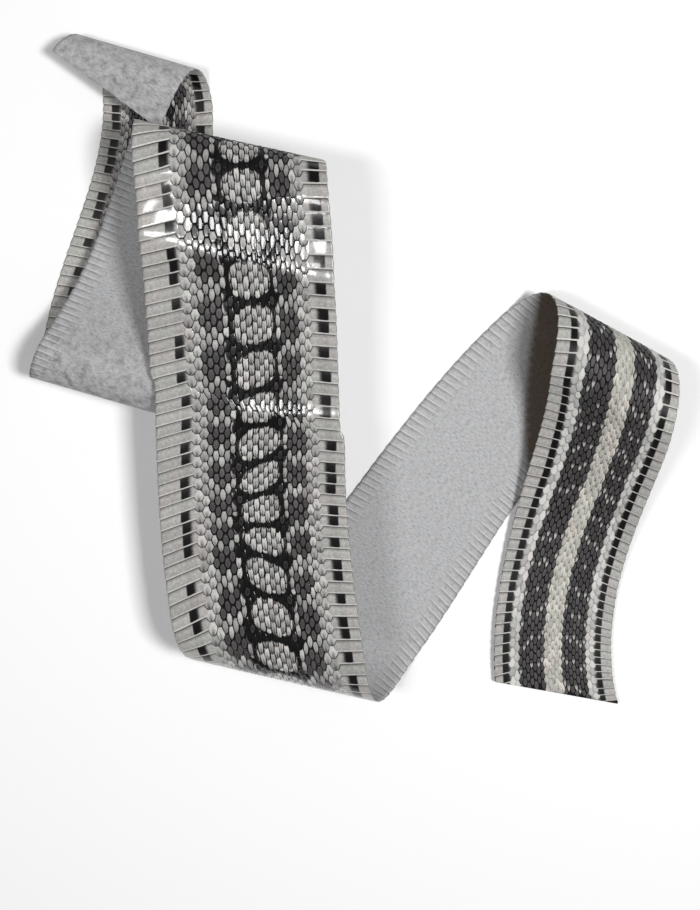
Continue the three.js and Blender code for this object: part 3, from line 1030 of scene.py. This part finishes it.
def scale_material(name, roughness, coat):
    """Glazed scales, in a tone from black to pale that is uneven among them and speckled within each."""
    n = Nodes(name)
    squares = [n.math("POWER", n.math("ABSOLUTE", n.attribute(key), 0), BODY_SQUARENESS)
               for key in ("across", "along")]
    from_middle = n.math("ADD", *squares)
    fraying = n.map(n.noise(n.lie(), scale=260), *NOISE_RANGE, -BODY_FRAYING, BODY_FRAYING)
    in_body = n.map(n.math("ADD", from_middle, fraying), *BODY_BORDER, 1, 0)
    margin, body = n.attribute("margin"), n.attribute("body")
    rim = n.math("MULTIPLY", n.map(from_middle, *RIM_SPAN, -1, 1), n.map(body, *DARK_TO_PALE, *RIM_CHANGES))
    lighter = n.math("ADD", body, rim)
    tone = n.math("ADD", margin, n.math("MULTIPLY", n.math("SUBTRACT", lighter, margin), in_body))
    slit = n.math("MULTIPLY", tone, n.math("SUBTRACT", 1, n.attribute("slit"), clamped=True))
    raggedness = n.map(n.noise(n.lie(), scale=330, roughness=0.7), *NOISE_RANGE, -INK_RAGGED, INK_RAGGED)
    ragged = n.math("ADD", n.attribute("ink"), raggedness)
    inked = n.math("MULTIPLY", slit, n.map(ragged, *INK_BORDER, 0, 1))
    specks = n.noise(n.lie(along=0.7, across=1.6), scale=300, detail=4, roughness=0.7)
    speckle = n.map(specks, *NOISE_RANGE, *SPECKLE_TONES)
    clouds = n.map(n.noise(n.lie(), scale=70), *SOFT_RANGE, *CLOUD_TONES)
    uneven = n.math("MULTIPLY", inked, n.math("MULTIPLY", speckle, clouds), clamped=True)
    lot = n.map(n.attribute("lot"), 0, 1, *LOT_TONES)
    lot_colour = n.add("ShaderNodeCombineColor", {0: lot, 1: lot, 2: lot}).outputs["Color"]
    by_lot = n.mix(1.0, n.ramp(uneven, TONE_COLOURS), lot_colour, "MULTIPLY")
    tinted = n.mix(1.0, by_lot, n.mix(n.attribute("warm"), (1, 1, 1), CREAM), "MULTIPLY")
    drift = n.ramp(n.noise(n.lie(), scale=9, detail=2, roughness=0.5), DRIFT_COLOURS)
    grain = n.noise(n.lie(across=2.0), scale=700, roughness=0.7)
    n.fill(n.shader, {
        "Base Color": n.mix(1.0, tinted, drift, "MULTIPLY"),
        "Roughness": n.map(grain, *NOISE_RANGE, roughness - SMOOTHER_BY, roughness + ROUGHER_BY),
        "Coat Weight": coat,
        "Coat Roughness": 0.07,
        "Specular IOR Level": 0.2,
        "Normal": n.bump(grain, strength=0.25, distance=0.05 * MM),
    })
    return n.material


FLESH_BRIGHT = (0.52, 0.522, 0.53)
FLESH_PALE = (0.44, 0.442, 0.45)
FLESH_GREY = (0.29, 0.29, 0.296)
FLESH_DARK = (0.2, 0.195, 0.195)
# Painted highlight on the ridges between the flesh side's creases
RIDGE_HIGHLIGHT = (0.6, 0.6, 0.61)
# Painted shade in the flesh side's creases
CREASE_SHADE = (0.22, 0.212, 0.208)
# Painted shadow colour for the flesh side inside the tail's far bend
LOOP_SHADOW_BROWN = (0.24, 0.182, 0.135)
FLESH_COLOURS = [(0.36, FLESH_GREY), (0.5, FLESH_PALE), (0.66, FLESH_BRIGHT)]
# The mottling and the dark patches: range within the clouds, and strength
MOTTLE_RANGE, MOTTLE_STRENGTH = (0.5, 0.75), 0.4
PATCH_RANGE, PATCH_STRENGTH = (0.42, 0.7), 0.85
# A crease's painted shade line and its ridge's painted highlight: range along the row number and by the
# edge, strength and shift
CREASE_LINE, CREASE_RIDGE = (0.6, 0.94), (0.3, 0.05)
LINE_BY_EDGE, RIDGE_BY_EDGE = (0.05, 0.6), (0.05, 0.5)
CREASE_STRENGTH, CREASE_SHIFT = 0.8, 0.05


def flesh_material():
    """The bare inner side: fibrous, mottled grey leather."""
    n = Nodes("flesh_side")
    fibres = n.noise(n.lie(across=0.35), scale=130, detail=6, roughness=0.72)
    cloud = n.noise(n.lie(), scale=22, detail=5, roughness=0.65)
    base = n.ramp(fibres, FLESH_COLOURS)
    mottle = n.math("ADD", n.map(cloud, *MOTTLE_RANGE, 0, MOTTLE_STRENGTH), n.attribute("mottle"))
    patches = n.math("MULTIPLY", mottle, n.map(cloud, *PATCH_RANGE, 0, PATCH_STRENGTH), clamped=True)
    patchy = n.mix(patches, base, FLESH_DARK)
    shift = n.map(fibres, *NOISE_RANGE, -CREASE_SHIFT, CREASE_SHIFT)
    wave = n.math("FRACT", n.math("ADD", n.attribute("row"), shift), 0)
    edge = n.attribute("by_edge")
    # Painted shade along each crease
    line = n.math("MULTIPLY", n.map(wave, *CREASE_LINE, 0, 1),
                  n.map(edge, *LINE_BY_EDGE, 0, CREASE_STRENGTH))
    crease_shaded = n.mix(line, patchy, CREASE_SHADE)
    # Painted highlight along each crease's ridge
    ridge = n.math("MULTIPLY", n.map(wave, *CREASE_RIDGE, 0, 1),
                   n.map(edge, *RIDGE_BY_EDGE, 0, CREASE_STRENGTH))
    ridge_lit = n.mix(ridge, crease_shaded, RIDGE_HIGHLIGHT)
    # Painted shadow: the flesh side darkened brown inside the tail's far bend
    loop_shadowed = n.mix(n.attribute("brown"), ridge_lit, LOOP_SHADOW_BROWN, "MULTIPLY")
    fine = n.noise(n.lie(), scale=900, roughness=0.7)
    rough = n.bump(fibres, strength=0.7, distance=0.3 * MM)
    n.fill(n.shader, {
        "Base Color": loop_shadowed,
        "Roughness": n.map(fine, *SOFT_RANGE, 0.4, 0.75),
        "Specular IOR Level": 0.35,
        "Normal": n.bump(fine, strength=0.35, distance=0.08 * MM, normal=rough),
    })
    return n.material


def table_material():
    n = Nodes("table")
    n.fill(n.shader, {"Base Color": (0.97, 0.97, 0.97, 1), "Roughness": 0.9, "Specular IOR Level": 0.1})
    return n.material


# The parts of the scene

RNG = np.random.default_rng(23)
# Roughness and coat of each material
SCALES = [scale_material("glossy_scales", 0.2, 0.5), scale_material("matt_scales", 0.5, 0.0)]
SCUTES = [scale_material("glossy_scutes", 0.2, 0.5), scale_material("matt_scutes", 0.45, 0.0)]
BETWEEN = scale_material("skin_between_scales", 0.55, 0.0)
# The back's piece has this many columns on either side of the middle one
BACK_REACH = 5

skin = make_skin(BETWEEN, flesh_material())
back_columns = np.arange(MIDDLE_COLUMN - BACK_REACH, MIDDLE_COLUMN + BACK_REACH + 1)
flank_columns = np.array([c for c in range(COLUMNS) if c not in back_columns])
scale_pieces = [
    make_small_scales("back_scales", back_columns, SCALES, RNG),
    make_small_scales("flank_scales", flank_columns, SCALES, RNG),
    make_scutes(SCUTES, RNG),
]
for piece in [skin, *scale_pieces]:
    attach(piece, "root")
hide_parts("snakeskin")

# The table, the lights and the camera

LIGHTS_AIM_AT = Vector((0, 0, 0.02))

bpy.ops.mesh.primitive_plane_add(size=6, location=(0, 0, 0))
table_top = bpy.context.object
table_top.name = "table_top"
table_top.data.materials.append(table_material())


def area_light(name, azimuth, elevation, distance, size, power):
    """A soft light at that azimuth, from +X towards +Y, and elevation in degrees, power in watts."""
    a, e = math.radians(azimuth), math.radians(elevation)
    away = Vector((math.cos(a) * math.cos(e), math.sin(a) * math.cos(e), math.sin(e)))
    data = bpy.data.lights.new(name, "AREA")
    data.shape = "RECTANGLE"
    data.size, data.size_y = size
    data.energy = power
    light = bpy.data.objects.new(name, data)
    light.location = LIGHTS_AIM_AT + away * distance
    light.rotation_euler = (-away).to_track_quat("-Z", "Y").to_euler()
    bpy.context.scene.collection.objects.link(light)


area_light("key", azimuth=10, elevation=67, distance=1.4, size=(0.3, 0.3), power=14.5)
area_light("glint", azimuth=174, elevation=67, distance=1.2, size=(0.17, 0.26), power=4.2)

world = bpy.data.worlds.new("studio")
world.use_nodes = True
background = world.node_tree.nodes["Background"].inputs
background["Color"].default_value = (1, 1, 1, 1)
background["Strength"].default_value = 0.15
bpy.context.scene.world = world
bpy.context.scene.view_settings.view_transform = "Standard"

CAMERA_AT = Vector((-14.99, 106.65, 703.77)) * MM
CAMERA_TILT, CAMERA_ROLL = -11.38, -1.19
SENSOR = 36.0
IMAGE_LONG_SIDE = 910
FOCAL_PIXELS = 1440.33

camera_data = bpy.data.cameras.new("camera")
camera_data.sensor_width = SENSOR
camera_data.lens = FOCAL_PIXELS / IMAGE_LONG_SIDE * SENSOR
camera_data.dof.use_dof = False
camera = bpy.data.objects.new("camera", camera_data)
camera.matrix_world = (Matrix.Translation(CAMERA_AT) @ Matrix.Rotation(math.radians(CAMERA_TILT), 4, "X")
                       @ Matrix.Rotation(math.radians(CAMERA_ROLL), 4, "Y"))
bpy.context.scene.collection.objects.link(camera)
bpy.context.scene.camera = camera
